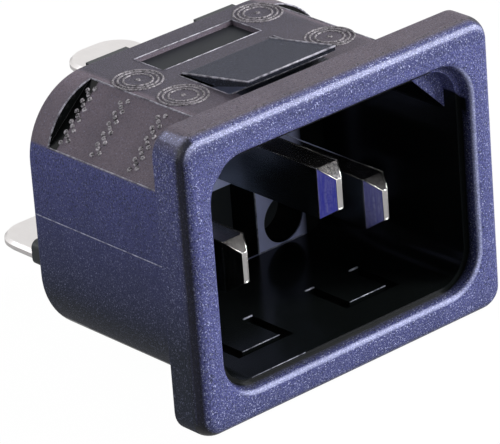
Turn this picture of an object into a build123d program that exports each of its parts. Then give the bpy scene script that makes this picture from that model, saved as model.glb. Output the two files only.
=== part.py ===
from build123d import *
import os

# Panel mounted mains inlet of the three pin appliance kind, snapped into a panel from the front.
# One moulded housing carries the flange, the shroud and the latch tongues. A moulded carrier closes the rear.
# Each pole is a solid pin with a bent quick connect tab staked on its rear spigot.
# Frame: X to the right seen from the front, Y into the equipment, Z up.
# Origin: centre of the rear face of the flange, which is the face that seats on the panel.
# Depths are measured from the front face of the flange towards the rear, in millimetres.

# Flange: its rim stands out from the body at the sides and at the top and bottom
flange_side = 1.45
flange_edge = 1.55
flange_thick = 3.3
flange_corner = 1.9
flange_round = 1.65

# Body behind the panel
body_width = 27.6
body_height = 20.7
body_corner = 5.8
body_depth = 19.6
wall = 1.45
bevel_width = 4.9
bevel_height = 4.3
rim_depth = 2.2
rear_round = 0.3

# Mouth and cavity that take the mating connector
side_wall = 1.7
top_wall = 1.6
cavity_corner = 2.6
cavity_bevel = 3.85
bevel_blend = 0.5
mouth_side_step = 0.45
mouth_top_step = 0.35
mouth_corner = 3.0
mouth_depth = 1.2
entry_depth = 1.3
lip_round = 0.95

# Rear wall of the cavity: a window under the earth pin and two moulding core holes
rear_wall = 2.85
window_width = 9.7
window_top = -2.02
core_hole = 4.0
core_hole_x = 7.58
core_hole_z = -6.65

# Pins: the blades that the mating connector grips. They reach forward from the cavity's rear wall.
pin_pitch = 14.0
pin_width = 2.0
pin_height = 4.0
line_z = -1.7
earth_z = 2.5
line_reach = 12.4
earth_reach = 15.28
tip_side_bevel = 0.78
tip_end_bevel = 0.8
tip_length = 1.2
pin_clearance = 0.06
shoulder_width = 3.4
shoulder_height = 5.4
shoulder_thick = 1.0
spigot = 1.6
stake_head = 2.3
stake_thick = 0.45
stake_bevel = 0.2

# Tabs: bent strip with quick connect ends, which reach out behind the body
tab_width = 6.3
tab_thick = 0.8
line_tab_reach = 8.2
earth_tab_reach = 9.4
tab_bend = 0.9
tab_round = 2.5
tab_edge = 0.25
tab_hole = 1.7
tab_hole_setback = 3.9
foot_width = 4.0
foot_over = 1.6
line_tab_x = 8.7
line_tab_z = -4.7
earth_tab_z = 6.45

# Carrier that closes the rear and holds the pins by their shoulders
carrier_thick = 1.8
carrier_gap = 0.1
seat_depth = 0.4
foot_seat = 0.4
foot_gap = 0.1
lug_width = 3.9
lug_x = 5.3
lug_thick = 0.5
lug_drop = 0.15
side_lug_height = 2.0
side_lug_thick = 0.9
side_lug_z = -3.15
lug_round = 0.6

# Polished panel let into the top, behind the wide latch tongue
panel_width = 9.7
panel_ahead = 1.5
panel_setback = 2.15
panel_deep = 0.4

# Latch tongues that hold the equipment panel against the flange. Grips and slot starts count from its rear.
latch_tip_thick = 0.35
latch_root_thick = 1.1
latch_rise = 1.24
top_grip = 2.03
top_slot_width = 9.46
top_slot_start = 3.55
top_slot_length = 5.75
top_slot_side = 0.46
low_grip = 1.52
low_catch = 2.03
low_slot_start = 0.9
low_slot_length = 4.6
low_slot_side = 0.87
low_tongue_width = 3.65
low_tongue_x = 5.38

# Places that follow from the sizes above
half_width = body_width / 2
half_height = body_height / 2
flange_width = body_width + 2 * flange_side
flange_height = body_height + 2 * flange_edge
cavity_width = body_width - 2 * side_wall
cavity_height = body_height - 2 * top_wall
cavity_top = cavity_height / 2
mouth_width = cavity_width + 2 * mouth_side_step
mouth_height = cavity_height + 2 * mouth_top_step
seat_floor = body_depth - seat_depth
key_depth = mouth_depth + entry_depth
cavity_depth = seat_floor - rear_wall
line_tip = cavity_depth - line_reach
earth_tip = cavity_depth - earth_reach
line_tab_end = body_depth + line_tab_reach
earth_tab_end = body_depth + earth_tab_reach
top_tip = flange_thick + top_grip
top_slot_front = flange_thick + top_slot_start
top_slot_rear = top_slot_front + top_slot_length
low_tip = flange_thick + low_grip
low_catch_front = flange_thick + low_catch
low_slot_front = flange_thick + low_slot_start
low_slot_rear = low_slot_front + low_slot_length
panel_front = top_slot_rear + panel_ahead
panel_rear = body_depth - panel_setback
carrier_rear = seat_floor + carrier_thick
foot_front = carrier_rear - foot_seat
foot_rear = foot_front + tab_thick
carrier_width = body_width - 2 * (wall + carrier_gap)
carrier_height = body_height - 2 * (wall + carrier_gap)
fit = 2 * pin_clearance

# Each pole: pin x, pin z, pin tip depth, tab x, tab z, tab end depth
poles = {
    "line": (-pin_pitch / 2, line_z, line_tip, -line_tab_x, line_tab_z, line_tab_end),
    "neutral": (pin_pitch / 2, line_z, line_tip, line_tab_x, line_tab_z, line_tab_end),
    "earth": (0, earth_z, earth_tip, 0, earth_tab_z, earth_tab_end),
}


def run(outline, front, rear):
    """Carry an outline, drawn as seen from the front, straight from one depth to another."""
    plane = Plane(origin=(0, front - flange_thick, 0), x_dir=(1, 0, 0), z_dir=(0, -1, 0))
    return extrude(plane * outline, amount=front - rear)


def across(outline, x_from, x_to):
    """Carry an outline, drawn as (depth, height), across X."""
    plane = Plane(origin=(x_from, -flange_thick, 0), x_dir=(0, 1, 0), z_dir=(1, 0, 0))
    return extrude(plane * outline, amount=x_to - x_from)


def polygon(*points):
    """A closed straight sided outline."""
    return make_face(Polyline(*points, close=True))


def span(x_low, x_high, z_low, z_high):
    """A rectangle by its limits."""
    return Pos((x_low + x_high) / 2, (z_low + z_high) / 2) * Rectangle(x_high - x_low, z_high - z_low)


def flange():
    plate = run(RectangleRounded(flange_width, flange_height, flange_corner), 0, flange_thick)
    return fillet(plate.faces().sort_by(Axis.Y)[0].edges(), flange_round)


def body():
    """The shroud's outside: rounded rim at the rear, upper corners bevelled in front of it."""
    block = run(RectangleRounded(body_width, body_height, body_corner), flange_thick, body_depth)
    block = fillet(block.faces().sort_by(Axis.Y)[-1].edges(), rear_round)
    for side in (-1, 1):
        corner = polygon(
            (side * (half_width - bevel_width), half_height),
            (side * half_width, half_height),
            (side * half_width, half_height - bevel_height),
        )
        block -= run(corner, flange_thick, body_depth - rim_depth)
    return block


def cavity():
    """The room for the connector: stepped rounded mouth, then bevelled upper corners that key the connector."""
    mouth = run(RectangleRounded(mouth_width, mouth_height, mouth_corner), 0, mouth_depth)
    entry = run(RectangleRounded(cavity_width, cavity_height, cavity_corner), mouth_depth, key_depth)
    half = cavity_width / 2
    outline = polygon(
        (-half, -cavity_top),
        (half, -cavity_top),
        (half, cavity_top - cavity_bevel),
        (half - cavity_bevel, cavity_top),
        (cavity_bevel - half, cavity_top),
        (-half, cavity_top - cavity_bevel),
    )
    outline = fillet(outline.vertices().group_by(Axis.Y)[0], cavity_corner)
    outline = fillet([corner for corner in outline.vertices() if corner.Y > 0], bevel_blend)
    return mouth + entry + run(outline, key_depth, cavity_depth)


def rear_wall_openings():
    window = run(span(-window_width / 2, window_width / 2, -cavity_top, window_top), cavity_depth, seat_floor)
    holes = [
        run(Pos(side * core_hole_x, core_hole_z) * Circle(core_hole / 2), cavity_depth, seat_floor)
        for side in (-1, 1)
    ]
    slots = [
        run(Pos(x, z) * Rectangle(pin_width + fit, pin_height + fit), cavity_depth, seat_floor)
        for x, z, *_ in poles.values()
    ]
    return [window, *holes, *slots]


def latch_slot(x, width, front, rear, up):
    """The opening in the wall around a tongue. up is 1 on top and -1 below."""
    low, high = sorted((up * (cavity_top - wall), up * (half_height + wall)))
    return run(span(x - width / 2, x + width / 2, low, high), front, rear)


def top_tongue():
    """A thin tongue that rises out of its slot and reaches over the slot's front edge."""
    tip = half_height + latch_rise
    profile = polygon(
        (top_slot_rear, half_height - latch_root_thick),
        (top_slot_rear, half_height),
        (top_tip, tip),
        (top_tip, tip - latch_tip_thick),
    )
    half = top_slot_width / 2 - top_slot_side
    return across(profile, -half, half)


def low_tongue(x):
    """A wedge shaped tongue: level with the cavity's floor inside, with a catch that stands out below."""
    profile = polygon(
        (low_slot_rear, -cavity_top),
        (low_slot_rear, -half_height),
        (low_catch_front, -half_height - latch_rise),
        (low_catch_front, -half_height),
        (low_tip, -half_height),
        (low_tip, -cavity_top),
    )
    return across(profile, x - low_tongue_width / 2, x + low_tongue_width / 2)


def housing():
    shape = flange() + body()
    shape -= cavity()
    front = shape.faces().filter_by(Axis.Y).sort_by(Axis.Y)[0]
    shape = fillet(front.inner_wires()[0].edges(), lip_round)
    for opening in rear_wall_openings():
        shape -= opening
    seat = RectangleRounded(body_width - 2 * wall, body_height - 2 * wall, body_corner - wall)
    shape -= run(seat, seat_floor, body_depth)
    panel = span(-panel_width / 2, panel_width / 2, half_height - panel_deep, half_height)
    shape -= run(panel, panel_front, panel_rear)
    shape -= latch_slot(0, top_slot_width, top_slot_front, top_slot_rear, 1)
    shape += top_tongue()
    low_slot_width = low_tongue_width + 2 * low_slot_side
    for x in (-low_tongue_x, low_tongue_x):
        shape -= latch_slot(x, low_slot_width, low_slot_front, low_slot_rear, -1)
        shape += low_tongue(x)
    return shape


def pin(x, z, tip):
    """A blade with a bevelled tip, the shoulder that is trapped behind the wall, and the staked spigot."""
    place = Pos(x, z)
    blade = run(place * Rectangle(pin_width, pin_height), tip + tip_length, seat_floor)
    whole = place * Rectangle(pin_width, pin_height)
    end = place * Rectangle(pin_width - 2 * tip_side_bevel, pin_height - 2 * tip_end_bevel)
    facing = Plane(origin=(0, tip - flange_thick, 0), x_dir=(1, 0, 0), z_dir=(0, -1, 0))
    nose = loft([facing * end, facing.offset(-tip_length) * whole])
    shoulder_rear = seat_floor + shoulder_thick
    shoulder = run(place * Rectangle(shoulder_width, shoulder_height), seat_floor, shoulder_rear)
    stem = run(place * Circle(spigot / 2), shoulder_rear, foot_rear)
    head = run(place * Circle(stake_head / 2), foot_rear, foot_rear + stake_thick)
    head = chamfer(head.faces().sort_by(Axis.Y)[-1].edges(), stake_bevel)
    return nose + blade + shoulder + stem + head


def bend_line(z, tab_z):
    """Which way the tab lies from its pin, its outer face, and the height where the foot starts to bend."""
    way = 1 if tab_z > z else -1
    outer = tab_z + way * tab_thick / 2
    return way, outer, outer - way * (tab_bend + tab_thick)


def foot_outline(x, z, tab_x, tab_z):
    """The staked foot of a tab: narrow round the pin, as wide as the tab where it bends."""
    way, _, bend_z = bend_line(z, tab_z)
    half_foot, half_tab = foot_width / 2, tab_width / 2
    return polygon(
        (x - half_foot, z - way * foot_over),
        (x + half_foot, z - way * foot_over),
        (x + half_foot, z),
        (tab_x + half_tab, bend_z),
        (tab_x - half_tab, bend_z),
        (x - half_foot, z),
    )


def tab(x, z, tab_x, tab_z, end):
    """A strip bent once: the foot lies on the carrier and the blade runs to the rear."""
    way, outer, bend_z = bend_line(z, tab_z)
    foot = run(foot_outline(x, z, tab_x, tab_z), foot_front, foot_rear)
    foot -= run(Pos(x, z) * Circle(spigot / 2 + pin_clearance), foot_front, foot_rear)
    reach = tab_bend + tab_thick
    quarter = Pos(-reach / 2, way * reach / 2) * Rectangle(reach, reach)
    ring = (Circle(reach) - Circle(tab_bend)) & quarter
    left, right = tab_x - tab_width / 2, tab_x + tab_width / 2
    bend = across(Pos(foot_rear + tab_bend, bend_z) * ring, left, right)
    start, stop = foot_rear + tab_bend - flange_thick, end - flange_thick
    low, high = sorted((outer, outer - way * tab_thick))
    blade = extrude(Plane.XY.offset(low) * span(left, right, start, stop), amount=high - low)
    blade = fillet(blade.edges().filter_by(Axis.Z).sort_by(Axis.Y)[2:], tab_round)
    blade = chamfer(blade.faces().filter_by(Axis.Z).edges().sort_by(Axis.Y)[2:], tab_edge)
    blade -= Pos(tab_x, stop - tab_hole_setback, tab_z) * Cylinder(tab_hole / 2, 2 * tab_thick)
    return foot + bend + blade


def carrier_lugs():
    """Stops on the carrier's edge that rest on the rear of the rim, above, below and at the sides."""
    lugs = []
    for way in (-1, 1):
        for side in (-1, 1):
            low, high = sorted((way * (carrier_height / 2 - wall), way * (half_height - lug_drop)))
            outline = span(side * lug_x - lug_width / 2, side * lug_x + lug_width / 2, low, high)
            lugs.append(run(outline, body_depth, body_depth + lug_thick))
        low, high = sorted((way * (carrier_width / 2 - wall), way * (half_width - lug_drop)))
        outline = span(low, high, side_lug_z - side_lug_height / 2, side_lug_z + side_lug_height / 2)
        ear = run(outline, body_depth, body_depth + side_lug_thick)
        outer = ear.edges().filter_by(Axis.Y).sort_by(Axis.X)
        lugs.append(fillet(outer[-2:] if way > 0 else outer[:2], lug_round))
    return lugs


def carrier():
    """The plate that closes the rear, with a stepped hole for each pin and a seat for each tab's foot."""
    corner = body_corner - wall - carrier_gap
    shape = run(RectangleRounded(carrier_width, carrier_height, corner), seat_floor, carrier_rear)
    for part in carrier_lugs():
        shape += part
    for x, z, _, tab_x, tab_z, _ in poles.values():
        way, outer, bend_z = bend_line(z, tab_z)
        low, high = sorted((bend_z - way * tab_thick, outer))
        seat = foot_outline(x, z, tab_x, tab_z)
        seat += span(tab_x - tab_width / 2, tab_x + tab_width / 2, low, high)
        shape -= run(offset(seat, foot_gap), foot_front, carrier_rear)
        pocket = Rectangle(shoulder_width + fit, shoulder_height + fit)
        shape -= run(Pos(x, z) * pocket, seat_floor, seat_floor + shoulder_thick)
        shape -= run(Pos(x, z) * Circle(spigot / 2 + pin_clearance), seat_floor, carrier_rear)
    return shape


os.makedirs("parts", exist_ok=True)
nodes = {"housing": housing(), "rear_carrier": carrier()}
for name, (x, z, tip, tab_x, tab_z, end) in poles.items():
    nodes[name + "_pin"] = pin(x, z, tip)
    nodes[name + "_tab"] = tab(x, z, tab_x, tab_z, end)
for name, shape in nodes.items():
    export_step(shape, "parts/" + name + ".step")
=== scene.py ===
import logging
import math
from dataclasses import dataclass
from enum import Enum
from typing import Dict, List, Sequence, Tuple, Union

import bmesh
import bpy
import numpy as np
from mathutils import Matrix, Vector


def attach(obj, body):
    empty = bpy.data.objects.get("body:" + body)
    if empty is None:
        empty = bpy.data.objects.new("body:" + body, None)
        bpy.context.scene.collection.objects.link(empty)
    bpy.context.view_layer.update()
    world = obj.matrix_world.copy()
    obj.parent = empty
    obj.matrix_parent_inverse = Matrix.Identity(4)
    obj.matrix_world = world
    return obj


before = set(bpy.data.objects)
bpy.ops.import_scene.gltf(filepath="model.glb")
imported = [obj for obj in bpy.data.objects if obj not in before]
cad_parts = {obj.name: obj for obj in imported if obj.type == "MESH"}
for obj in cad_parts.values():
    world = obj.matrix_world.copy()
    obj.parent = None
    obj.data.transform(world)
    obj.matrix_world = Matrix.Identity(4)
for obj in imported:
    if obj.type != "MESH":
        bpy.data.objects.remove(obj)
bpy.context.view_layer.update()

logging.basicConfig(level=logging.INFO, format="%(message)s")
log = logging.getLogger("panel_inlet")

MM = 0.001
Colour = Tuple[float, float, float]
Point = Tuple[float, float, float]
Surface = Tuple[np.ndarray, np.ndarray]


class Slot(Enum):
    """The record's material slots."""

    TEXTURED = "textured_black_plastic"
    SMOOTH = "smooth_black_plastic"
    NICKEL = "nickel_plate"
    TIN = "tinned_strip"


# Shader maths


class Wire:
    """A socket in a material, on which arithmetic adds the Math nodes."""

    def __init__(self, tree: "NodeTree", socket: bpy.types.NodeSocket) -> None:
        """Keep the tree and the socket.

        Args:
            tree: the node tree that the socket belongs to.
            socket: the output socket that carries the value.
        """
        self.tree = tree
        self.socket = socket

    def _math(self, operation: str, first: "Term", second: "Term", clamp: bool = False) -> "Wire":
        """Add one Math node.

        Args:
            operation: Blender's name of the operation.
            first: the value of the first socket.
            second: the value of the second socket.
            clamp: whether the result is kept between 0 and 1.

        Returns:
            The node's result.
        """
        settings = {"operation": operation, "use_clamp": clamp}
        return self.tree.node("ShaderNodeMath", settings, {0: first, 1: second})

    def __add__(self, other: "Term") -> "Wire":
        """This value plus another."""
        return self._math("ADD", self, other)

    def __radd__(self, other: "Term") -> "Wire":
        """Another value plus this one."""
        return self._math("ADD", other, self)

    def __sub__(self, other: "Term") -> "Wire":
        """This value less another."""
        return self._math("SUBTRACT", self, other)

    def __rsub__(self, other: "Term") -> "Wire":
        """Another value less this one."""
        return self._math("SUBTRACT", other, self)

    def __mul__(self, other: "Term") -> "Wire":
        """This value times another."""
        return self._math("MULTIPLY", self, other)

    def __rmul__(self, other: "Term") -> "Wire":
        """Another value times this one."""
        return self._math("MULTIPLY", other, self)

    def __abs__(self) -> "Wire":
        """This value without its sign."""
        return self._math("ABSOLUTE", self, 0.0)

    def __or__(self, other: "Term") -> "Wire":
        """The larger of two masks: where either of them holds."""
        return self._math("MAXIMUM", self, other)

    def __pow__(self, power: float) -> "Wire":
        """This value raised to a power."""
        return self._math("POWER", self, power)

    def rises(self, low: float, high: float) -> "Wire":
        """A mask that goes from 0 at low to 1 at high: the value less low, over high less low."""
        return self._math("MULTIPLY", self - low, 1.0 / (high - low), clamp=True)

    def falls(self, low: float, high: float) -> "Wire":
        """A mask that goes from 1 at low to 0 at high."""
        return 1 - self.rises(low, high)

    def between(self, low: float, high: float, soft: float = 0.03) -> "Wire":
        """A mask that holds from low to high and falls off over a short way outside them.

        Args:
            low: where the mask starts, in the value's own unit.
            high: where it ends.
            soft: how far outside the limits it reaches 0.

        Returns:
            The product of a rising mask and a falling one.
        """
        return self.rises(low - soft, low) * self.falls(high, high + soft)

    def near(self, level: float, reach: float = 0.04) -> "Wire":
        """A mask that holds close to one value, to tell a face by the plane that it lies in."""
        return self.between(level - reach, level + reach, 0.01)


Term = Union[Wire, float, Sequence[float]]


class NodeTree:
    """The nodes of one material or world, all added by one method."""

    def __init__(self, name: str, world: bool = False) -> None:
        """Start a material, or a world, that holds only its output.

        Args:
            name: its name.
            world: whether it is a world.
        """
        self.owner = bpy.data.worlds.new(name) if world else bpy.data.materials.new(name)
        self.owner.use_nodes = True
        self.nodes = self.owner.node_tree.nodes
        self.links = self.owner.node_tree.links
        self.nodes.clear()
        self.output = self.nodes.new("ShaderNodeOutputWorld" if world else "ShaderNodeOutputMaterial")

    def node(
        self,
        kind: str,
        settings: Dict[str, object],
        sockets: Dict[Union[int, str], Term],
        out: Union[int, str] = 0,
    ) -> Wire:
        """Add a node: its settings first, then the values and links of its sockets.

        Args:
            kind: Blender's type name of the node.
            settings: the node's own properties.
            sockets: a value or a wire for each input, by name or number.
            out: the output that is wanted.

        Returns:
            The wanted output as a wire.
        """
        made = self.nodes.new(kind)
        for name, value in settings.items():
            setattr(made, name, value)
        for name, value in sockets.items():
            if isinstance(value, Wire):
                self.links.new(value.socket, made.inputs[name])
            else:
                made.inputs[name].default_value = value
        return Wire(self, made.outputs[out])

    def place(self) -> Tuple[Wire, Wire, Wire, Wire]:
        """The point on the piece in millimetres of the row frame.

        Returns:
            The point as a vector, then its X, Y and Z.
        """
        point = self.node("ShaderNodeTexCoord", {}, {}, "Object")
        point = self.node("ShaderNodeVectorMath", {"operation": "SCALE"}, {0: point, "Scale": 1.0 / MM})
        parts = [self.node("ShaderNodeSeparateXYZ", {}, {0: point}, axis) for axis in range(3)]
        return point, parts[0], parts[1], parts[2]

    def noise(self, point: Wire, per_mm: float, detail: float = 2.0, rough: float = 0.5) -> Wire:
        """Cloudy noise from 0 to 1.

        Args:
            point: where the noise is read.
            per_mm: how many features lie on a millimetre.
            detail: how many finer layers are added.
            rough: how strong the finer layers are.

        Returns:
            The noise.
        """
        sockets = {"Vector": point, "Scale": per_mm, "Detail": detail, "Roughness": rough}
        return self.node("ShaderNodeTexNoise", {}, sockets)

    def ray(self, kind: str) -> Wire:
        """Whether the light path is of one kind, such as Camera or Glossy."""
        return self.node("ShaderNodeLightPath", {}, {}, f"Is {kind} Ray")

    def blend(self, factor: Term, first: Term, second: Term) -> Wire:
        """A colour between two others.

        Args:
            factor: 0 gives the first and 1 the second.
            first: a colour or a wire.
            second: a colour or a wire.

        Returns:
            The mixed colour.
        """
        first = first if isinstance(first, Wire) else (*first, 1.0)
        second = second if isinstance(second, Wire) else (*second, 1.0)
        return self.node("ShaderNodeMix", {"data_type": "RGBA"}, {0: factor, 6: first, 7: second}, 2)

    def layers(self, base: Term, *coats: Tuple[Term, Colour]) -> Wire:
        """Lay colours over a base, one after the other.

        Args:
            base: the colour under them all.
            coats: for each coat, how much of it shows, and its colour.

        Returns:
            The last mixed colour.
        """
        for factor, colour in coats:
            base = self.blend(factor, base, colour)
        return base

    def bump(self, height: Wire, depth: float) -> Wire:
        """A normal tilted by a height map.

        Args:
            height: the height, in units of depth.
            depth: the height of 1, in metres.

        Returns:
            The normal.
        """
        return self.node("ShaderNodeBump", {}, {"Strength": 1.0, "Distance": depth, "Height": height})

    def finish(self, shader: Wire) -> Union[bpy.types.Material, bpy.types.World]:
        """Join a shader to the output and return what owns the nodes."""
        self.links.new(shader.socket, self.output.inputs[0])
        return self.owner

    def surface(self, sockets: Dict[Union[int, str], Term]) -> bpy.types.Material:
        """Join a Principled shader to the output.

        Args:
            sockets: the shader's values and wires.

        Returns:
            The finished material.
        """
        return self.finish(self.node("ShaderNodeBsdfPrincipled", {}, sockets))


# Finishes


@dataclass(frozen=True)
class Spot:
    """A point of the housing as its finish reads it, in millimetres.

    Its place is x, y and z, with |x| as wide and |z| as tall. It lies depth under the flange's front face,
    way_in inside the flange's outline and way_out outside the mouth's.
    """

    x: Wire
    y: Wire
    z: Wire
    wide: Wire
    tall: Wire
    depth: Wire
    way_in: Wire
    way_out: Wire


@dataclass(frozen=True)
class Grain:
    """The noises of the housing's finish, each from 0 to 1: clouds, grain, bright specks and dark pits."""

    clouds: Wire
    grain: Wire
    specks: Wire
    fine: Wire
    pits: Wire


@dataclass(frozen=True)
class HousingPlastic:
    """Black moulded plastic: spark-eroded outside, polished inside the cavity and in the small recesses,
    with light and shade painted into its colour.

    Lengths are in millimetres. An outline holds half the width, half the height and the corner's radius, and
    a span holds where a zone starts and where it ends.
    """

    # Painted light: the outer faces' colour is the black plastic as it looks under bluish light, and the
    # top's as it looks under warm light.
    painted_blue_light: Colour = (0.079, 0.087, 0.274)
    painted_warm_top_light: Colour = (0.185, 0.150, 0.178)
    # Painted shade: the darker top of the wide latch tongue.
    tongue: Colour = (0.026, 0.025, 0.046)
    # Painted light: the lit colour of the cavity's rear wall, far paler than the faces outside.
    wall: Colour = (0.52, 0.57, 0.88)
    polished: Colour = (0.004, 0.005, 0.005)
    recess: Colour = (0.012, 0.014, 0.018)
    # The grain's bright specks, and painted highlights on the flange's rounds and round the mouth.
    speck_and_highlight: Colour = (0.62, 0.66, 0.98)
    # The grain's dark pits, and painted shade on the outer faces.
    pit_and_shade: Colour = (0.009, 0.014, 0.027)
    shadow: Colour = (0.003, 0.003, 0.005)
    grain_per_mm: float = 8.0
    speck_per_mm: float = 8.5
    grain_depth: float = 0.055
    flow_depth: float = 0.003
    matt: float = 0.42
    glossy: float = 0.13
    specular: float = 0.24
    front: float = -3.3
    flange: Tuple[float, float, float] = (15.25, 11.9, 1.9)
    mouth: Tuple[float, float, float] = (12.55, 9.1, 3.0)
    flange_edge: float = 1.0
    lip_edge: float = 0.4
    body_top: float = 10.35
    bevel_foot: float = 6.1
    bevel_point: Tuple[float, float] = (11.27, 8.27)
    bevel_normal: Tuple[float, float] = (0.6596, 0.7516)
    bevel_strip: float = 13.25
    rim_front: float = 14.1
    key_plane: float = 17.0
    key_depth: float = -0.8
    mouth_plane: float = 18.4
    cavity: Tuple[float, float] = (12.2, 8.85)
    rear: float = 12.95
    core_holes: Tuple[float, float] = (9.0, 9.9)
    upper_slot: Tuple[float, float] = (3.5, 9.3)
    upper_half: float = 4.74
    lower_slot: Tuple[float, float] = (0.85, 5.5)
    lower_middle: float = 5.38
    lower_half: float = 2.7
    slot_skin: Tuple[float, float] = (8.7, 10.3)
    latch: Tuple[float, float] = (1.9, 9.3)
    latch_tip: Tuple[float, float] = (2.0, 2.12)
    latch_gap: Tuple[float, float] = (2.2, 3.6)
    latch_half: float = 4.28
    panel: Tuple[float, float] = (10.82, 14.13)
    panel_half: float = 4.82

    @staticmethod
    def far(first: Wire, second: Wire) -> Wire:
        """The root of the sum of the squares of two values, each counted only where it is above 0."""
        first, second = first | 0.0, second | 0.0
        return (first * first + second * second) ** 0.5

    def inside(self, wide: Wire, tall: Wire, outline: Tuple[float, float, float]) -> Wire:
        """How far a point lies inside a rounded rectangle.

        With a and b as |x| and |z| less the half sizes, plus the corner's radius r, it is r less the far
        distance of a and b, and in the middle part, where both are below 0, it stays at r.

        Args:
            wide: the point's |x|.
            tall: the point's |z|.
            outline: half the width, half the height and the corner's radius.

        Returns:
            The distance in millimetres, below 0 outside.
        """
        half, high, corner = outline
        return corner - self.far(wide - (half - corner), tall - (high - corner))

    def spot(self, x: Wire, y: Wire, z: Wire) -> Spot:
        """Work out where a point lies under the flange's faces.

        Args:
            x: the point's X.
            y: its Y.
            z: its Z.

        Returns:
            The point with its depths.
        """
        wide, tall = abs(x), abs(z)
        way_in = self.inside(wide, tall, self.flange)
        way_out = (self.inside(wide, tall, self.mouth) * -1.0) | 0.0
        return Spot(x, y, z, wide, tall, y - self.front, way_in, way_out)

    def grains(self, tree: NodeTree, point: Wire) -> Grain:
        """Make the noises of the spark-eroded faces.

        Args:
            tree: the material's nodes.
            point: where the noises are read.

        Returns:
            The noises.
        """
        return Grain(
            clouds=tree.noise(point, 0.35, 3.0),
            grain=tree.noise(point, self.grain_per_mm, 3.0, 0.7),
            specks=tree.noise(point, self.speck_per_mm, 1.0, 0.6).rises(0.59, 0.72),
            fine=tree.noise(point, self.grain_per_mm * 1.3, 1.0, 0.6).rises(0.50, 0.72),
            pits=tree.noise(point, self.grain_per_mm * 0.8, 1.0, 0.6).falls(0.34, 0.50),
        )

    def tightened(self, depth: Wire, way_in: Wire, radius: float) -> Wire:
        """The height that makes a wide round shade as a tighter one: how far that one stands out of it.

        With a and b as the depths under the round's two faces, it is the radius less the far distance of
        radius - a and radius - b.

        Args:
            depth: the depth under the front face.
            way_in: the depth under the side face.
            radius: the tighter round's radius.

        Returns:
            The height in millimetres, 0 on both faces.
        """
        return radius - self.far(radius - depth, radius - way_in)

    def crescent_shade(self, at: Spot) -> Wire:
        """Painted shade: the face of the rear rim that shows over each bevel, and the foot of the bevel
        before it, both painted near-black.

        The face is a thin slab in depth outside the bevel's plane, and the foot is a strip of that plane.

        Args:
            at: the point.

        Returns:
            The mask.
        """
        (x, z), (across, up) = self.bevel_point, self.bevel_normal
        outside = (at.wide - x) * across + (at.z - z) * up
        face = at.y.near(self.rim_front) * outside.rises(0.02, 0.06)
        return face | outside.near(0.0) * at.y.between(self.bevel_strip, self.rim_front, 0.15)

    def polished_zone(self, at: Spot) -> Wire:
        """The inside of the cavity and of the latch slots: each zone is a product of limits on x, y and z.

        In the mouth the mask rises slowly with depth, as the grain fades into the polished walls; behind the
        upper right corner it rises sooner, as painted shade. The faces of the two keyed corners stay out:
        they lie in one plane of depth, past the key's slope.

        Args:
            at: the point.

        Returns:
            The mask.
        """
        corner = at.wide + at.z
        key = at.y.near(self.key_depth) * corner.rises(self.key_plane, self.key_plane + 0.05)
        half, high, _ = self.mouth
        sides = at.wide.falls(half + 0.07, half + 0.17) * at.tall.falls(high + 0.05, high + 0.15)
        sides = sides * corner.falls(self.mouth_plane, self.mouth_plane + 0.2)
        # Painted shade: behind the upper right corner the mouth turns near-black sooner.
        painted_corner_shade = at.x.rises(9.5, 11.0) * at.z.rises(3.0, 5.0)
        deep = at.depth.rises(0.2, 1.1) | at.depth.rises(0.35, 0.7) * painted_corner_shade
        mouth = deep * at.y.falls(0.1, 0.2) * sides * (1 - key)
        half, high = self.cavity
        cavity = at.y.between(0.0, self.rear) * corner.falls(self.key_plane + 0.1, self.key_plane + 0.3)
        cavity = cavity * at.wide.falls(half, half + 0.1) * at.tall.falls(high, high + 0.1)
        low, high = self.slot_skin
        upper = at.y.between(*self.upper_slot) * at.wide.falls(self.upper_half, self.upper_half + 0.04)
        lower = at.y.between(*self.lower_slot)
        lower = lower * (at.wide - self.lower_middle).between(-self.lower_half, self.lower_half)
        upper, lower = upper * at.z.between(low, high - 0.01, 0.01), lower * at.z.between(-high, -low, 0.01)
        return mouth | cavity | upper | lower

    def rear_wall(self, at: Spot) -> Tuple[Wire, Wire]:
        """The cavity's rear wall, painted as lit, and the part of it between the core holes, which keeps its
        grain and that painted light; elsewhere the wall is painted near-black as shade, and so is most of
        that part towards its top.

        Args:
            at: the point.

        Returns:
            The two masks.
        """
        half, high = self.cavity
        wall = at.y.between(self.rear + 0.01, self.rear + 3.05) * at.wide.falls(half + 0.1, half + 0.2)
        wall = wall * at.tall.falls(high + 0.1, high + 0.15)
        wall = wall * (at.wide + at.z).falls(self.key_plane + 0.3, self.key_plane + 0.4)
        painted_lit_patch = at.wide.falls(*self.core_holes) * at.y.falls(self.rear + 0.15, self.rear + 0.25)
        # Painted shade: towards the top the lit patch mostly gives way to near-black.
        return wall, painted_lit_patch * (1 - at.z.rises(4.0, 8.0) * 0.7)

    def faces(self, tree: NodeTree, at: Spot, grain: Grain) -> Wire:
        """The outer faces: a bluish colour for the sides and flange and a browner one for the top, both
        painted light, the wide latch darker as painted shade, painted shadow on its flanks and under its tip,
        painted shade towards the bottom and the rear, and the grain's pits and specks.

        Args:
            tree: the material's nodes.
            at: the point.
            grain: the noises there.

        Returns:
            The colour.
        """
        body = at.y.rises(0.0, 0.1)
        # Painted light: the top faces and the flange's top round take the warm top colour.
        top = at.z.rises(self.bevel_foot, self.bevel_foot + 0.25) * at.y.rises(0.0, 0.05)
        rim = at.z.rises(10.6, 11.8) * at.depth.rises(0.65, 1.05)
        # Painted shade: the top of the wide latch tongue takes its darker colour.
        over_latch = at.wide.falls(self.latch_half, self.latch_half + 0.04)
        along_latch = at.y.between(*self.latch)
        latch = over_latch * along_latch * at.z.rises(self.body_top + 0.01, self.body_top + 0.05)
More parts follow.
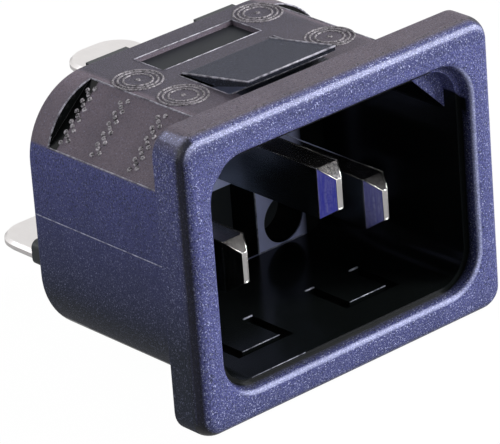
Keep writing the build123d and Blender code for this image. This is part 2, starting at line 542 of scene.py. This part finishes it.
        # Painted shadow on the tongue's sides and on the face of its tip.
        flanks = at.wide.near(self.latch_half - 0.01, 0.03) | at.y.between(*self.latch_tip, 0.02) * over_latch
        flanks = flanks * along_latch * at.z.rises(self.slot_skin[0], self.slot_skin[0] + 0.1)
        # Painted shadow on the top face under the tongue's tip.
        under = at.wide.falls(self.latch_half - 0.08, self.latch_half + 0.02) * at.y.between(*self.latch_gap)
        under = under * at.z.between(self.body_top - 0.05, self.body_top + 0.01, 0.02)
        # Painted shade: the flange's sides darken towards the bottom, the body lower down, the flange's front
        # at its foot, and the top faces, more towards the rear.
        side = at.way_in.falls(0.08, 0.25) * at.y.falls(-0.02, 0.0) * at.z.falls(-5.0, 7.0)
        shade = at.z.falls(-6.2, 4.4) * body
        low = at.z.falls(-10.2, -8.6) * at.depth.falls(1.3, 1.5) * 0.30
        back = at.z.rises(self.body_top - 0.05, self.body_top - 0.01) * (at.y.rises(-1.0, 10.0) * 0.38 + 0.28)
        quiet = (top | rim) * 0.82 | side * 0.7 | latch * 0.9 | body * 0.62
        return tree.layers(
            self.painted_blue_light,
            (top | rim, self.painted_warm_top_light),
            (latch, self.tongue),
            (flanks, self.shadow),
            (under, self.shadow),
            (grain.pits * (0.75 - top * 0.45) | low | shade | side | back, self.pit_and_shade),
            ((grain.specks * 0.95 | grain.fine * 0.24) * (1 - quiet), self.speck_and_highlight),
        )

    def painted_light(self, tree: NodeTree, base: Wire, at: Spot, edge: Wire, grain: Grain) -> Wire:
        """Paint shade on the turn of the flange's front round, and paint highlights on its top, its shoulder
        and the mouth's edge.

        Args:
            tree: the material's nodes.
            base: the colour of the faces.
            at: the point.
            edge: where the front round lies.
            grain: the noises there.

        Returns:
            The colour.
        """
        across = at.way_in - at.depth
        turn = edge * at.way_in.falls(0.9, 1.0)
        # Painted shade: a dark stripe down the left turn of the round, and its right and bottom turns
        # darkened.
        painted_dark_band = across.between(-0.75, -0.15, 0.35) * turn * at.x.falls(-13.9, -13.6)
        dull = across.falls(-0.9, 0.2) * turn * (at.x.rises(13.6, 13.9) | at.z.falls(-10.6, -10.2))
        # Painted highlights: a bright line on the round's top, a glint on the flange's upper left shoulder
        # and a bright line round the mouth's edge.
        painted_ridge_highlight = across.between(0.0, 0.36, 0.20) * turn * at.z.rises(9.9, 11.2) * at.x.falls(13.9, 15.0)
        glint = at.z.between(11.40, 11.70, 0.12) * at.x.falls(-13.9, -13.4) * at.way_in.falls(0.08, 0.2)
        glint = glint * at.y.falls(-0.3, -0.1) * at.depth.rises(0.8, 1.2)
        painted_lip_highlight = at.way_out.between(0.16, 0.42, 0.10) * at.depth.falls(0.35, 0.45)
        painted_lip_highlight = painted_lip_highlight * (at.x.rises(11.0, 12.6) | at.z.falls(-9.3, -8.6))
        painted_highlights = painted_ridge_highlight * (0.34 + grain.fine * 0.6 + grain.specks * 0.8) | glint * (0.30 + grain.specks)
        return tree.layers(
            base,
            (painted_dark_band * 0.88, self.shadow),
            (dull * 0.8, self.shadow),
            (painted_highlights, self.speck_and_highlight),
            (painted_lip_highlight * (0.48 + grain.fine * 0.5 + grain.specks), self.speck_and_highlight),
        )

    def relief(self, tree: NodeTree, point: Wire, at: Spot, edge: Wire, smooth: Wire, grain: Grain) -> Wire:
        """The height of the surface: grain outside, faint flow inside, and the two tighter rounds.

        Args:
            tree: the material's nodes.
            point: where the flow's noise is read.
            at: the point.
            edge: where the front round lies.
            smooth: where the surface is polished.
            grain: the noises there.

        Returns:
            The height in millimetres.
        """
        rounds = self.tightened(at.depth, at.way_in, self.flange_edge)
        rounds = rounds * at.way_in.falls(1.70, 1.85) * at.depth.falls(2.1, 2.2)
        lips = self.tightened(at.depth, at.way_out, self.lip_edge)
        lips = lips * at.way_out.falls(1.0, 1.1) * at.depth.falls(1.0, 1.05)
        rough = grain.grain * self.grain_depth * (1 - smooth) * (1 - edge * 0.2)
        return rough + rounds + lips + tree.noise(point, 0.8, 2.0) * smooth * self.flow_depth

    def make(self) -> bpy.types.Material:
        """Build the material.

        Returns:
            The finished material.
        """
        tree = NodeTree("housing_plastic")
        point, x, y, z = tree.place()
        at, grain = self.spot(x, y, z), self.grains(tree, point)
        panel = at.wide.falls(self.panel_half, self.panel_half + 0.04) * y.between(*self.panel, 0.01)
        panel = panel * z.between(9.8, self.slot_skin[1], 0.01)
        wall, painted_lit_patch = self.rear_wall(at)
        # The polished inside, and painted shade in the same near-black: the crescents and the rear wall
        # outside its lit patch.
        dark = self.polished_zone(at) | self.crescent_shade(at) | wall * (1 - painted_lit_patch)
        smooth = dark | panel
        edge = at.depth.rises(0.10, 0.30) * at.depth.falls(1.2, 1.4)
        colour = tree.layers(
            self.painted_light(tree, self.faces(tree, at, grain), at, edge, grain),
            # Painted light: the rear wall's lit colour.
            (wall, self.wall),
            (grain.clouds.rises(0.35, 0.65) * 0.14, self.pit_and_shade),
            (panel, self.recess),
            (dark, self.polished),
        )
        outer = self.matt + grain.grain * 0.12 - edge * 0.27
        inner = self.glossy + grain.clouds * 0.10 + panel * 0.3
        return tree.surface(
            {
                "Base Color": colour,
                "Roughness": outer * (1 - smooth) + inner * smooth,
                "Specular IOR Level": self.specular,
                "Normal": tree.bump(self.relief(tree, point, at, edge, smooth, grain), MM),
            }
        )


@dataclass(frozen=True)
class SmoothPlastic:
    """Smooth black moulded plastic with faint flow clouds."""

    name: str = "smooth_plastic"
    dark: Colour = (0.020, 0.024, 0.027)
    pale: Colour = (0.034, 0.040, 0.044)
    roughness: float = 0.30

    def make(self) -> bpy.types.Material:
        """Build the material.

        Returns:
            The finished material.
        """
        tree = NodeTree(self.name)
        point, _, _, _ = tree.place()
        clouds = tree.noise(point, 0.5, 4.0)
        fine = tree.noise(point, 5.0, 2.0)
        return tree.surface(
            {
                "Base Color": tree.blend(clouds, self.dark, self.pale),
                "Roughness": self.roughness + clouds * 0.12,
                "Specular IOR Level": 0.42,
                "Normal": tree.bump(fine, 0.004 * MM),
            }
        )


@dataclass(frozen=True)
class Plating:
    """Bright plated metal with a fine drawn grain along the part.

    The blades' noses are coined. Each slanted side of a nose carries a painted reflection, darker than the
    rest, in the colour given for each blade by its X and its tip's Y. Their flat flanks behind the noses are
    darkened too, as a painted dark reflection.
    """

    name: str
    bright: Colour
    dull: Colour
    roughness: float
    streaks_per_mm: float = 7.0
    # Each nose: the blade's X, its tip's Y and the colour of the painted reflection on its slanted side.
    noses: Tuple[Tuple[float, float, Colour], ...] = ()
    # The painted dark reflection on the flat flanks.
    painted_dark_reflection: Colour = (0.17, 0.19, 0.19)
    half: float = 1.0
    tip_half: float = 0.22
    slant: float = 0.65
    nose_length: float = 1.2

    def nose(self, x: Wire, y: Wire, middle: float, tip: float) -> Tuple[Wire, Wire]:
        """One blade's nose, and its slanted side: near the plane that runs sideways as it runs back.

        Args:
            x: the point's X.
            y: its Y.
            middle: the blade's X.
            tip: the Y of its tip.

        Returns:
            The masks of the whole nose and of the slanted side.
        """
        off = (x - middle) + self.tip_half + (y - tip) * self.slant
        length = y.between(tip + 0.02, tip + self.nose_length - 0.01, 0.01)
        return abs(x - middle).falls(self.half, self.half + 0.05) * length, off.near(0.0, 0.035) * length

    def make(self) -> bpy.types.Material:
        """Build the material.

        Returns:
            The finished material.
        """
        tree = NodeTree(self.name)
        point, x, y, z = tree.place()
        drawn = tree.node("ShaderNodeCombineXYZ", {}, {0: x, 1: y * 0.08, 2: z})
        upright = tree.node("ShaderNodeCombineXYZ", {}, {0: x, 1: y, 2: z * 0.05})
        streaks = tree.noise(drawn, self.streaks_per_mm, 2.0)
        lines = tree.noise(upright, self.streaks_per_mm, 2.0)
        clouds = tree.noise(point, 0.9, 3.0)
        sparkle = tree.noise(point, 7.0, 1.0).rises(0.48, 0.60)
        colour = tree.blend(clouds * 0.6 + streaks * 0.4, self.dull, self.bright)
        for middle, tip, painted_reflection in self.noses:
            behind = tip + self.nose_length
            # Painted reflections: a dark one on the flat flanks behind the nose and one in the blade's own
            # colour on the slanted side; the dark colour also lies in random specks on the nose.
            painted_dark_reflection = abs(x - middle).near(self.half, 0.03) * y.rises(behind + 0.02, behind + 0.2)
            nose, slanted = self.nose(x, y, middle, tip)
            colour = tree.layers(
                colour,
                (painted_dark_reflection, self.painted_dark_reflection),
                (nose * sparkle * 0.7, self.painted_dark_reflection),
                (slanted * (1.15 - lines * 0.5), painted_reflection),
            )
        return tree.surface(
            {
                "Base Color": colour,
                "Metallic": 1.0,
                "Roughness": self.roughness + streaks * 0.10,
                "Normal": tree.bump(streaks, 0.002 * MM),
            }
        )


@dataclass(frozen=True)
class PaintedHighlightEdge:
    """A rounded edge of the plastic, glossier than its faces, with painted highlights along it in lighter
    patches.
    """

    name: str
    base: Colour
    painted_light: Colour
    roughness: float = 0.28
    glints_per_mm: float = 1.6

    def make(self) -> bpy.types.Material:
        """Build the material.

        Returns:
            The finished material.
        """
        tree = NodeTree(self.name)
        point, _, _, _ = tree.place()
        # Painted highlights: lighter patches along the edge, placed by noise.
        painted_glints = tree.noise(point, self.glints_per_mm, 4.0, 0.65).rises(0.38, 0.62)
        fine = tree.noise(point, 6.0, 2.0)
        return tree.surface(
            {
                "Base Color": tree.blend(painted_glints, self.base, self.painted_light),
                "Roughness": self.roughness + fine * 0.15,
                "Specular IOR Level": 0.5,
                "Normal": tree.bump(fine, 0.006 * MM),
            }
        )


# Mesh making


def mesh_piece(name: str, parts: Sequence[Surface], material: bpy.types.Material) -> None:
    """Put surfaces into one mesh, close its poles, shade it smooth, dress it and let it ride on the part.

    Args:
        name: the piece's name.
        parts: the surfaces, in millimetres.
        material: the piece's material.
    """
    points, faces = joined(parts)
    mesh = bpy.data.meshes.new(name)
    mesh.from_pydata((points * MM).tolist(), [], faces.tolist())
    shell = bmesh.new()
    shell.from_mesh(mesh)
    bmesh.ops.remove_doubles(shell, verts=shell.verts, dist=0.0001 * MM)
    bmesh.ops.recalc_face_normals(shell, faces=shell.faces)
    shell.to_mesh(mesh)
    shell.free()
    mesh.polygons.foreach_set("use_smooth", np.ones(len(mesh.polygons), bool))
    mesh.materials.append(material)
    mesh.update()
    piece = bpy.data.objects.new(name, mesh)
    bpy.context.scene.collection.objects.link(piece)
    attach(piece, "root")
    log.info("piece %s: %d faces", name, len(mesh.polygons))


def joined(parts: Sequence[Surface]) -> Surface:
    """Put several surfaces into one pair of arrays: vertex numbers go up by the vertices before them.

    Args:
        parts: points and faces of each surface.

    Returns:
        All points and all faces.
    """
    starts = np.cumsum([0] + [len(points) for points, _ in parts[:-1]])
    return np.vstack([p for p, _ in parts]), np.vstack([f + s for (_, f), s in zip(parts, starts)])


def grid_faces(rows: int, columns: int, wrap_rows: bool) -> np.ndarray:
    """Quads between the neighbours of a grid whose columns close on themselves.

    Args:
        rows: the number of rings.
        columns: the points of each ring.
        wrap_rows: whether the last ring joins the first.

    Returns:
        Four vertex numbers per quad.
    """
    i, j = np.meshgrid(np.arange(rows if wrap_rows else rows - 1), np.arange(columns), indexing="ij")
    here, ahead, beside = i * columns, (i + 1) % rows * columns, (j + 1) % columns
    return np.stack([here + j, here + beside, ahead + beside, ahead + j], -1).reshape(-1, 4)


def bead(path: np.ndarray, radius: float, sides: int = 8, closed: bool = False) -> Surface:
    """A round bead along a path.

    The point at step s and angle a is the path's point at s, plus the radius times cos a along the first
    cross direction and sin a along the second. An open bead's radius shrinks to 0 at its ends, and the
    points there are merged into one, so that its ends close as cones.

    Args:
        path: the centre line, one row per point, in millimetres.
        radius: the bead's radius in millimetres.
        sides: the points round the bead.
        closed: whether the path comes back to its start.

    Returns:
        The points and the faces.
    """
    if not closed:
        out = (path[0] - path[1]) / np.linalg.norm(path[0] - path[1]) * radius
        back = (path[-1] - path[-2]) / np.linalg.norm(path[-1] - path[-2]) * radius
        path = np.vstack([path[0] + out, path, path[-1] + back])
    ahead = np.roll(path, -1, 0) - np.roll(path, 1, 0)
    if not closed:
        ahead[0], ahead[-1] = path[1] - path[0], path[-1] - path[-2]
    ahead /= np.linalg.norm(ahead, axis=1, keepdims=True)
    helper = np.where(np.abs(ahead[:, 2:]) > 0.9, [[1.0, 0.0, 0.0]], [[0.0, 0.0, 1.0]])
    first = np.cross(ahead, helper)
    first /= np.linalg.norm(first, axis=1, keepdims=True)
    second = np.cross(ahead, first)
    width = np.full(len(path), radius)
    if not closed:
        width[[0, -1]] = 0.0
    angle = np.linspace(0, 2 * np.pi, sides, endpoint=False)
    ring = first[:, None] * np.cos(angle)[:, None] + second[:, None] * np.sin(angle)[:, None]
    points = (path[:, None] + ring * width[:, None, None]).reshape(-1, 3)
    return points, grid_faces(len(path), sides, closed)


def rod(start: Point, end: Point, radius: float, sides: int = 8, steps: int = 2) -> Surface:
    """A straight bead whose path is evenly spaced points from start to end."""
    return bead(np.linspace(np.array(start, float), np.array(end, float), steps), radius, sides)


def ring(centre: Point, first: Point, second: Point, radius: float, line: float, steps: int) -> Surface:
    """A bead along a circle: the centre plus the radius times cos a one way and times sin a the other way.

    Args:
        centre: the circle's centre.
        first: the direction at a = 0, of length 1.
        second: the direction a quarter turn on.
        radius: the circle's radius.
        line: the bead's radius.
        steps: the points round the circle.

    Returns:
        The points and the faces.
    """
    angle = np.linspace(0, 2 * np.pi, steps, endpoint=False)[:, None]
    across, along = np.cos(angle) * np.array(first), np.sin(angle) * np.array(second)
    return bead(np.array(centre) + radius * (across + along), line, 6, closed=True)


# The inlet's sub-assemblies


@dataclass
class BodyEdges:
    """The rounded edges of the shroud: bevels, rear rim, panel recess and the wide latch tongue."""

    # The beads' lighter patches are painted highlights.
    base: PaintedHighlightEdge = PaintedHighlightEdge("body_edge", (0.10, 0.095, 0.12), (0.50, 0.49, 0.56))
    radius: float = 0.07
    top: float = 10.35
    bevel_upper: Tuple[float, float] = (9.0, 10.264)
    bevel_lower: Tuple[float, float] = (13.535, 6.282)
    front: float = 0.05
    rim_front: float = 14.1
    corner_centre: Tuple[float, float] = (8.0, 4.55)
    corner: float = 5.8
    steps: int = 24
    recess: Tuple[float, float, float] = (4.85, 10.8, 14.15)
    slot: Tuple[float, float, float] = (4.73, 3.55, 9.3)
    tongue: Tuple[float, float, float, float] = (4.27, 2.03, 9.3, 11.59)

    def bevels(self, side: int) -> List[Surface]:
        """Beads on one bevel's two long edges and on the rim behind it.

        The rim's edge is the arc whose points are the corner's centre plus the corner's radius times the
        cosine and sine of the angle.

        Args:
            side: 1 for the neutral side and -1 for the line side.

        Returns:
            The beads.
        """
        (xu, zu), (xl, zl), (cx, cz) = self.bevel_upper, self.bevel_lower, self.corner_centre
        angle = np.linspace(math.atan2(zl - cz, xl - cx), math.atan2(zu - cz, xu - cx), self.steps)
        x, z = cx + self.corner * np.cos(angle), cz + self.corner * np.sin(angle)
        arc = np.stack([side * x, np.full(self.steps, self.rim_front), z], -1)
        return [
            rod((side * xu, self.front, zu), (side * xu, self.rim_front, zu), self.radius),
            rod((side * xl, self.front, zl), (side * xl, self.rim_front, zl), self.radius * 0.8),
            bead(arc, self.radius),
        ]

    def recess_edges(self) -> Surface:
        """A bead round the panel recess: each side runs from one corner to the next in eight even steps.

        Returns:
            The bead.
        """
        half, front, rear = self.recess
        corners = np.array([(-half, front), (half, front), (half, rear), (-half, rear)])
        flat = np.concatenate([np.linspace(a, b, 9)[:-1] for a, b in zip(corners, np.roll(corners, -1, 0))])
        return bead(np.column_stack([flat, np.full(len(flat), self.top)]), self.radius * 0.7, closed=True)

    def build(self) -> None:
        """Build the beads as one piece for the bevels and rim and one for the tongue and recess."""
        material = self.base.make()
        mesh_piece("bevel_edges", self.bevels(-1) + self.bevels(1), material)
        half, front, rear = self.slot
        wide, tip, root, high = self.tongue
        fine, bold = self.radius * 0.7, self.radius * 1.2
        beads = [self.recess_edges(), rod((-half, front, self.top), (half, front, self.top), self.radius)]
        for side in (-1, 1):
            beads.append(rod((side * half, front, self.top), (side * half, rear, self.top), fine))
            beads.append(rod((side * wide, tip, high), (side * wide, root, self.top), bold))
        beads.append(rod((-wide, tip, high), (wide, tip, high), bold))
        mesh_piece("tongue_edges", beads, material)


@dataclass
class CavityEdges:
    """The lit edges inside the cavity: latch tips, slot ends, the ledge, the window and the wall's foot."""

    # The beads' lighter patches are painted highlights.
    finish: PaintedHighlightEdge = PaintedHighlightEdge("cavity_edge", (0.05, 0.05, 0.07), (0.40, 0.42, 0.50), 0.22)
    radius: float = 0.06
    floor: float = -8.75
    tongue_x: float = 5.38
    tongue_half: float = 1.825
    gap: float = 0.87
    tip: float = 1.52
    slot_rear: float = 5.5
    ledge: Tuple[float, float, float] = (-2.1, -9.5, -4.275)
    foot: float = 9.5
    wall: float = 13.05
    window: Tuple[float, float] = (4.85, -2.02)

    def tongue(self, x: float) -> List[Surface]:
        """Beads round one low tongue: its tip and the rear ends of the gaps beside it.

        Args:
            x: the tongue's middle.

        Returns:
            The beads.
        """
        left, right = x - self.tongue_half, x + self.tongue_half
        level, rear = self.floor, self.slot_rear
        return [
            rod((left, self.tip, level), (right, self.tip, level), self.radius * 0.6),
            rod((left - self.gap, rear, level), (left, rear, level), self.radius * 1.3),
            rod((right, rear, level), (right + self.gap, rear, level), self.radius * 1.3),
        ]

    def build(self) -> None:
        """Build the beads as one piece."""
        depth, start, end = self.ledge
        side, top = self.window
        beads = self.tongue(-self.tongue_x) + self.tongue(self.tongue_x)
        beads.append(rod((start, depth, self.floor), (end, depth, self.floor), self.radius * 0.5))
        for way in (-1, 1):
            corner = (way * side, self.wall, self.floor)
            beads.append(rod(corner, (way * side, self.wall, top), self.radius))
            beads.append(rod(corner, (way * self.foot, self.wall, self.floor), self.radius))
        mesh_piece("cavity_edges", beads, self.finish.make())


@dataclass
class BladeEdges:
    """The small rounded edges of the pins' blades and noses, which catch the light."""

    finish: Plating = Plating("blade_edge", (0.95, 0.94, 0.92), (0.70, 0.68, 0.66), 0.18)
    blades: Tuple[Point, ...] = ((-7.0, 0.65, -1.7), (7.0, 0.65, -1.7), (0.0, -2.23, 2.5))
    half: Tuple[float, float] = (1.0, 2.0)
    nose: Tuple[float, float, float] = (0.22, 1.2, 1.2)
    root: float = 12.95
    radius: float = 0.055

    def blade(self, x: float, tip: float, z: float) -> List[Surface]:
        """Beads on one blade: two along its top, three along the nose's slants and four round the tip.

        Args:
            x: the blade's middle.
            tip: the Y of its tip.
            z: the blade's middle height.

        Returns:
            The beads.
        """
        wide, tall = self.half
        thin, low, length = self.nose
        slim = self.radius * 0.8
        turns = ((-1, -1), (1, -1), (1, 1), (-1, 1))
        beads = []
        for (a, b), (c, d) in zip(turns, turns[1:] + turns[:1]):
            shoulder, point = (x + a * wide, tip + length, z + b * tall), (x + a * thin, tip, z + b * low)
            if b > 0:
                beads.append(rod(shoulder, (x + a * wide, self.root, z + b * tall), self.radius, 6))
            if a > 0 or b > 0:
                beads.append(rod(point, shoulder, slim, 6))
            beads.append(rod(point, (x + c * thin, tip, z + d * low), slim, 6))
        return beads

    def build(self) -> None:
        """Build the beads of all blades as one piece."""
        parts = [part for blade in self.blades for part in self.blade(*blade)]
        mesh_piece("blade_edges", parts, self.finish.make())


@dataclass
class PartingLines:
    """The thin line that the mould's halves leave along each side of the shroud."""

    # The line's lighter patches are painted highlights.
    finish: PaintedHighlightEdge = PaintedHighlightEdge("parting_line", (0.10, 0.105, 0.18), (0.62, 0.64, 0.80), 0.30)
    x: float = 13.8
    z: float = 0.5
    front: float = 0.1
    rear: float = 16.0
    radius: float = 0.045
    steps: int = 12

    def build(self) -> None:
        """Build both lines as one piece."""
        beads = [
            rod((x, self.front, self.z), (x, self.rear, self.z), self.radius, steps=self.steps)
            for x in (-self.x, self.x)
        ]
        mesh_piece("parting_lines", beads, self.finish.make())


@dataclass
class MouldRings:
    """Plain raised rings that round tool inserts leave on the top of the shroud and on the rear carrier."""

    # The rings' lighter patches are painted glints.
    finish: PaintedHighlightEdge = PaintedHighlightEdge("mould_ring", (0.018, 0.016, 0.019), (0.40, 0.37, 0.40), 0.34, 5.0)
    centres: Tuple[Tuple[float, float], ...] = ((-6.95, 6.15), (7.2, 5.85), (7.0, 13.6), (-7.2, 10.9))
    radii: Tuple[float, ...] = (1.85, 1.5, 1.1, 0.12)
    top: float = 10.35
    line: float = 0.09
    steps: int = 48

    def build(self) -> None:
        """Build the rings as one piece."""
        parts = [
            ring((x, y, self.top), (1, 0, 0), (0, 1, 0), radius, self.line, self.steps)
            for x, y in self.centres
            for radius in self.radii
        ]
        mesh_piece("mould_rings", parts, self.finish.make())


@dataclass
class BevelMarks:
    """Rows of small plain raised pips down the line side's bevel."""

    # The pips' lighter patches are painted glints.
    finish: PaintedHighlightEdge = PaintedHighlightEdge("bevel_mark", (0.004, 0.004, 0.005), (0.62, 0.58, 0.62), 0.28, 4.0)
    upper: Tuple[float, float] = (-9.35, 9.96)
    lower: Tuple[float, float] = (-13.15, 6.62)
    rows: Tuple[Tuple[float, float], ...] = ((13.45, 12.9), (9.75, 9.4), (5.6, 5.2))
    marks: int = 17
    offsets: Tuple[float, ...] = (-0.34, 0.30, 0.0)
    shares: Tuple[float, float] = (0.04, 0.96)
    round: float = 0.12
    line: float = 0.10
    steps: int = 10

    def mark(self, along: float, depth: float) -> Surface:
        """One pip: a small closed ring in the bevel's plane, a share of the way down from its upper end.

        Args:
            along: the share of the way from the bevel's upper end to its lower end.
            depth: the mark's Y.

        Returns:
            The points and the faces.
        """
        start, end = np.array(self.upper), np.array(self.lower)
        x, z = start + (end - start) * along
        down = (end - start) / np.linalg.norm(end - start)
        return ring((x, depth, z), (down[0], 0, down[1]), (0, 1, 0), self.round, self.line, self.steps)

    def build(self) -> None:
        """Build all marks as one piece."""
        parts = [
            self.mark(share, upper + (lower - upper) * share + self.offsets[place % len(self.offsets)])
            for upper, lower in self.rows
            for place, share in enumerate(np.linspace(*self.shares, self.marks))
        ]
        mesh_piece("bevel_marks", parts, self.finish.make())


@dataclass
class RearMarks:
    """Ejector rings and the gate's stub on the rear face of the carrier."""

    finish: SmoothPlastic = SmoothPlastic("carrier_mark", (0.03, 0.034, 0.037), (0.07, 0.075, 0.08), 0.34)
    face: float = 17.7
    ejectors: Tuple[Tuple[float, float], ...] = ((-10.6, 4.6), (10.6, 4.6), (-3.2, -7.4), (3.2, -7.4))
    radius: float = 0.9
    line: float = 0.06
    gate: Tuple[float, float, float] = (0.0, -2.0, 0.45)
    gate_shares: Tuple[float, ...] = (1.0, 0.7, 0.4, 0.12)
    gate_line: float = 0.1
    steps: int = 32

    def build(self) -> None:
        """Build the rings and the stub as one piece."""
        x, z, radius = self.gate
        rings = [(*centre, self.radius, self.line) for centre in self.ejectors]
        rings += [(x, z, radius * share, self.gate_line) for share in self.gate_shares]
        parts = [
            ring((cx, self.face, cz), (1, 0, 0), (0, 0, 1), size, line, self.steps)
            for cx, cz, size, line in rings
        ]
        mesh_piece("carrier_marks", parts, self.finish.make())


@dataclass
class DressedNodes:
    """The finish of each CAD node."""

    housing: HousingPlastic = HousingPlastic()
    carrier: SmoothPlastic = SmoothPlastic("carrier_plastic")
    pins: Plating = Plating(
        "nickel",
        (0.86, 0.84, 0.83),
        (0.58, 0.56, 0.56),
        0.14,
        # Each blade's X, its tip's Y and the colour of the painted reflection on its nose's slanted side.
        noses=(
            (0.0, -2.23, (0.055, 0.062, 0.48)),
            (7.0, 0.65, (0.09, 0.095, 0.29)),
            (-7.0, 0.65, (0.02, 0.025, 0.025)),
        ),
    )
    tabs: Plating = Plating("tin", (0.98, 0.95, 0.94), (0.84, 0.81, 0.80), 0.30)

    def dress(self) -> None:
        """Give every node its finish, by the node's name, in place of its own materials."""
        plan = {
            self.housing.make(): ["housing"],
            self.carrier.make(): ["rear_carrier"],
            self.pins.make(): ["line_pin", "neutral_pin", "earth_pin"],
            self.tabs.make(): ["line_tab", "neutral_tab", "earth_tab"],
        }
        for material, names in plan.items():
            for name in names:
                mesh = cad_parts[name].data
                mesh.materials.clear()
                mesh.materials.append(material)
                log.info("node %s: %s", name, material.name)


@dataclass(frozen=True)
class Lamp:
    """A soft square lamp that faces the part.

    It stands a distance off in the direction way, in metres, and size is its side. A level of 1 lights a
    white face turned to it to white: the power is pi squared times the distance squared times the level.
    The gloss says how strongly it shows in highlights.
    """

    name: str
    way: Point
    distance: float
    size: float
    level: float
    colour: Colour
    gloss: float

    def build(self) -> None:
        """Make the lamp and turn it to the part."""
        data = bpy.data.lights.new(self.name, "AREA")
        data.size = self.size
        data.energy = math.pi**2 * self.distance**2 * self.level
        data.color = self.colour
        data.specular_factor = self.gloss
        lamp = bpy.data.objects.new(self.name, data)
        direction = Vector(self.way).normalized()
        lamp.location = direction * self.distance
        lamp.rotation_mode = "QUATERNION"
        lamp.rotation_quaternion = direction.to_track_quat("Z", "Y")
        bpy.context.scene.collection.objects.link(lamp)


@dataclass
class Studio:
    """Plain floor, soft lights, pale surroundings and the camera at the photograph's angle.

    The key stands over the right shoulder, with soft lamps low on the right, behind the left and in front.
    """

    lamps: Tuple[Lamp, ...] = (
        Lamp("key", (0.585, -0.417, 0.695), 0.42, 0.084, 0.68, (1.0, 0.98, 0.97), 7.5),
        Lamp("right", (0.62, -0.72, 0.28), 0.42, 0.17, 0.80, (0.95, 0.96, 1.0), 0.4),
        Lamp("left", (-0.72, 0.42, 0.56), 0.16, 0.10, 0.40, (0.96, 0.96, 1.0), 0.4),
        Lamp("front", (-0.12, -0.95, 0.30), 0.40, 0.16, 0.13, (0.95, 0.96, 1.0), 0.1),
    )
    white: Tuple[float, float, float, float] = (1.0, 1.0, 1.0, 1.0)
    floor_grey: Tuple[float, float, float, float] = (0.25, 0.25, 0.25, 1.0)
    floor_glow: float = 1.12
    floor_half: float = 3.0
    floor_height: float = -11.92
    floor_white: float = 0.88
    ambient: float = 0.05
    ambient_colour: Tuple[float, float, float, float] = (0.92, 0.95, 1.0, 1.0)
    seen_by_gloss: float = 0.80
    floor_gloss: float = 0.26
    camera_at: Point = (-191.885, -219.989, 134.097)
    azimuth: float = -40.0765
    elevation: float = 24.6705
    roll: float = -4.4589
    focal_pixels: float = 4400.0
    picture_width: float = 500.0
    sensor: float = 36.0
    clip: Tuple[float, float] = (0.01, 20.0)

    def floor(self) -> None:
        """A large pale floor that keeps a faint shadow: a mix of plain diffuse and white seen directly."""
        tree = NodeTree("floor")
        seen = (tree.ray("Camera") | tree.ray("Transmission")) * self.floor_white
        seen = seen + tree.ray("Glossy") * self.floor_gloss
        plain = tree.node("ShaderNodeBsdfDiffuse", {}, {"Color": self.floor_grey})
        white = tree.node("ShaderNodeEmission", {}, {"Color": self.white, "Strength": self.floor_glow})
        mixed = tree.node("ShaderNodeMixShader", {}, {0: seen, 1: plain, 2: white})
        half, level = self.floor_half, self.floor_height * MM
        corners = [(-half, -half, level), (half, -half, level), (half, half, level), (-half, half, level)]
        mesh = bpy.data.meshes.new("floor")
        mesh.from_pydata(corners, [], [(0, 1, 2, 3)])
        mesh.materials.append(tree.finish(mixed))
        floor = bpy.data.objects.new("floor", mesh)
        bpy.context.scene.collection.objects.link(floor)

    def surroundings(self) -> None:
        """Pale surroundings: white for the camera, less for gloss, and a low even light for the rest."""
        tree = NodeTree("surroundings", world=True)
        direct = tree.ray("Camera") | tree.ray("Transmission")
        seen, shine, light = (
            tree.node("ShaderNodeBackground", {}, {"Color": colour, "Strength": strength})
            for colour, strength in (
                (self.white, 1.0),
                (self.white, self.seen_by_gloss),
                (self.ambient_colour, self.ambient),
            )
        )
        rest = tree.node("ShaderNodeMixShader", {}, {0: tree.ray("Glossy"), 1: light, 2: shine})
        mixed = tree.node("ShaderNodeMixShader", {}, {0: direct, 1: rest, 2: seen})
        bpy.context.scene.world = tree.finish(mixed)

    def camera(self) -> None:
        """The camera: the azimuth and elevation give its back direction, and the roll turns it about that."""
        a, e, r = (math.radians(v) for v in (self.azimuth, self.elevation, self.roll))
        back = Vector((math.sin(a) * math.cos(e), -math.cos(a) * math.cos(e), math.sin(e)))
        level = Vector((math.cos(a), math.sin(a), 0.0))
        over = back.cross(level)
        right = level * math.cos(r) + over * math.sin(r)
        turn = Matrix((right, back.cross(right), back)).transposed()
        data = bpy.data.cameras.new("camera")
        data.sensor_width = self.sensor
        data.lens = self.focal_pixels / self.picture_width * self.sensor
        data.clip_start, data.clip_end = self.clip
        camera = bpy.data.objects.new("camera", data)
        camera.matrix_world = Matrix.Translation(Vector(self.camera_at) * MM) @ turn.to_4x4()
        bpy.context.scene.collection.objects.link(camera)
        bpy.context.scene.camera = camera

    def build(self) -> None:
        """Set the whole studio."""
        bpy.context.scene.view_settings.view_transform = "Standard"
        self.floor()
        self.surroundings()
        for lamp in self.lamps:
            lamp.build()
        self.camera()


def main() -> None:
    """Build the studio, dress the nodes and add the fine pieces."""
    Studio().build()
    DressedNodes().dress()
    assemblies = (BodyEdges, CavityEdges, BladeEdges, PartingLines, MouldRings, BevelMarks, RearMarks)
    for assembly in assemblies:
        assembly().build()


if __name__ == "__main__":
    main()
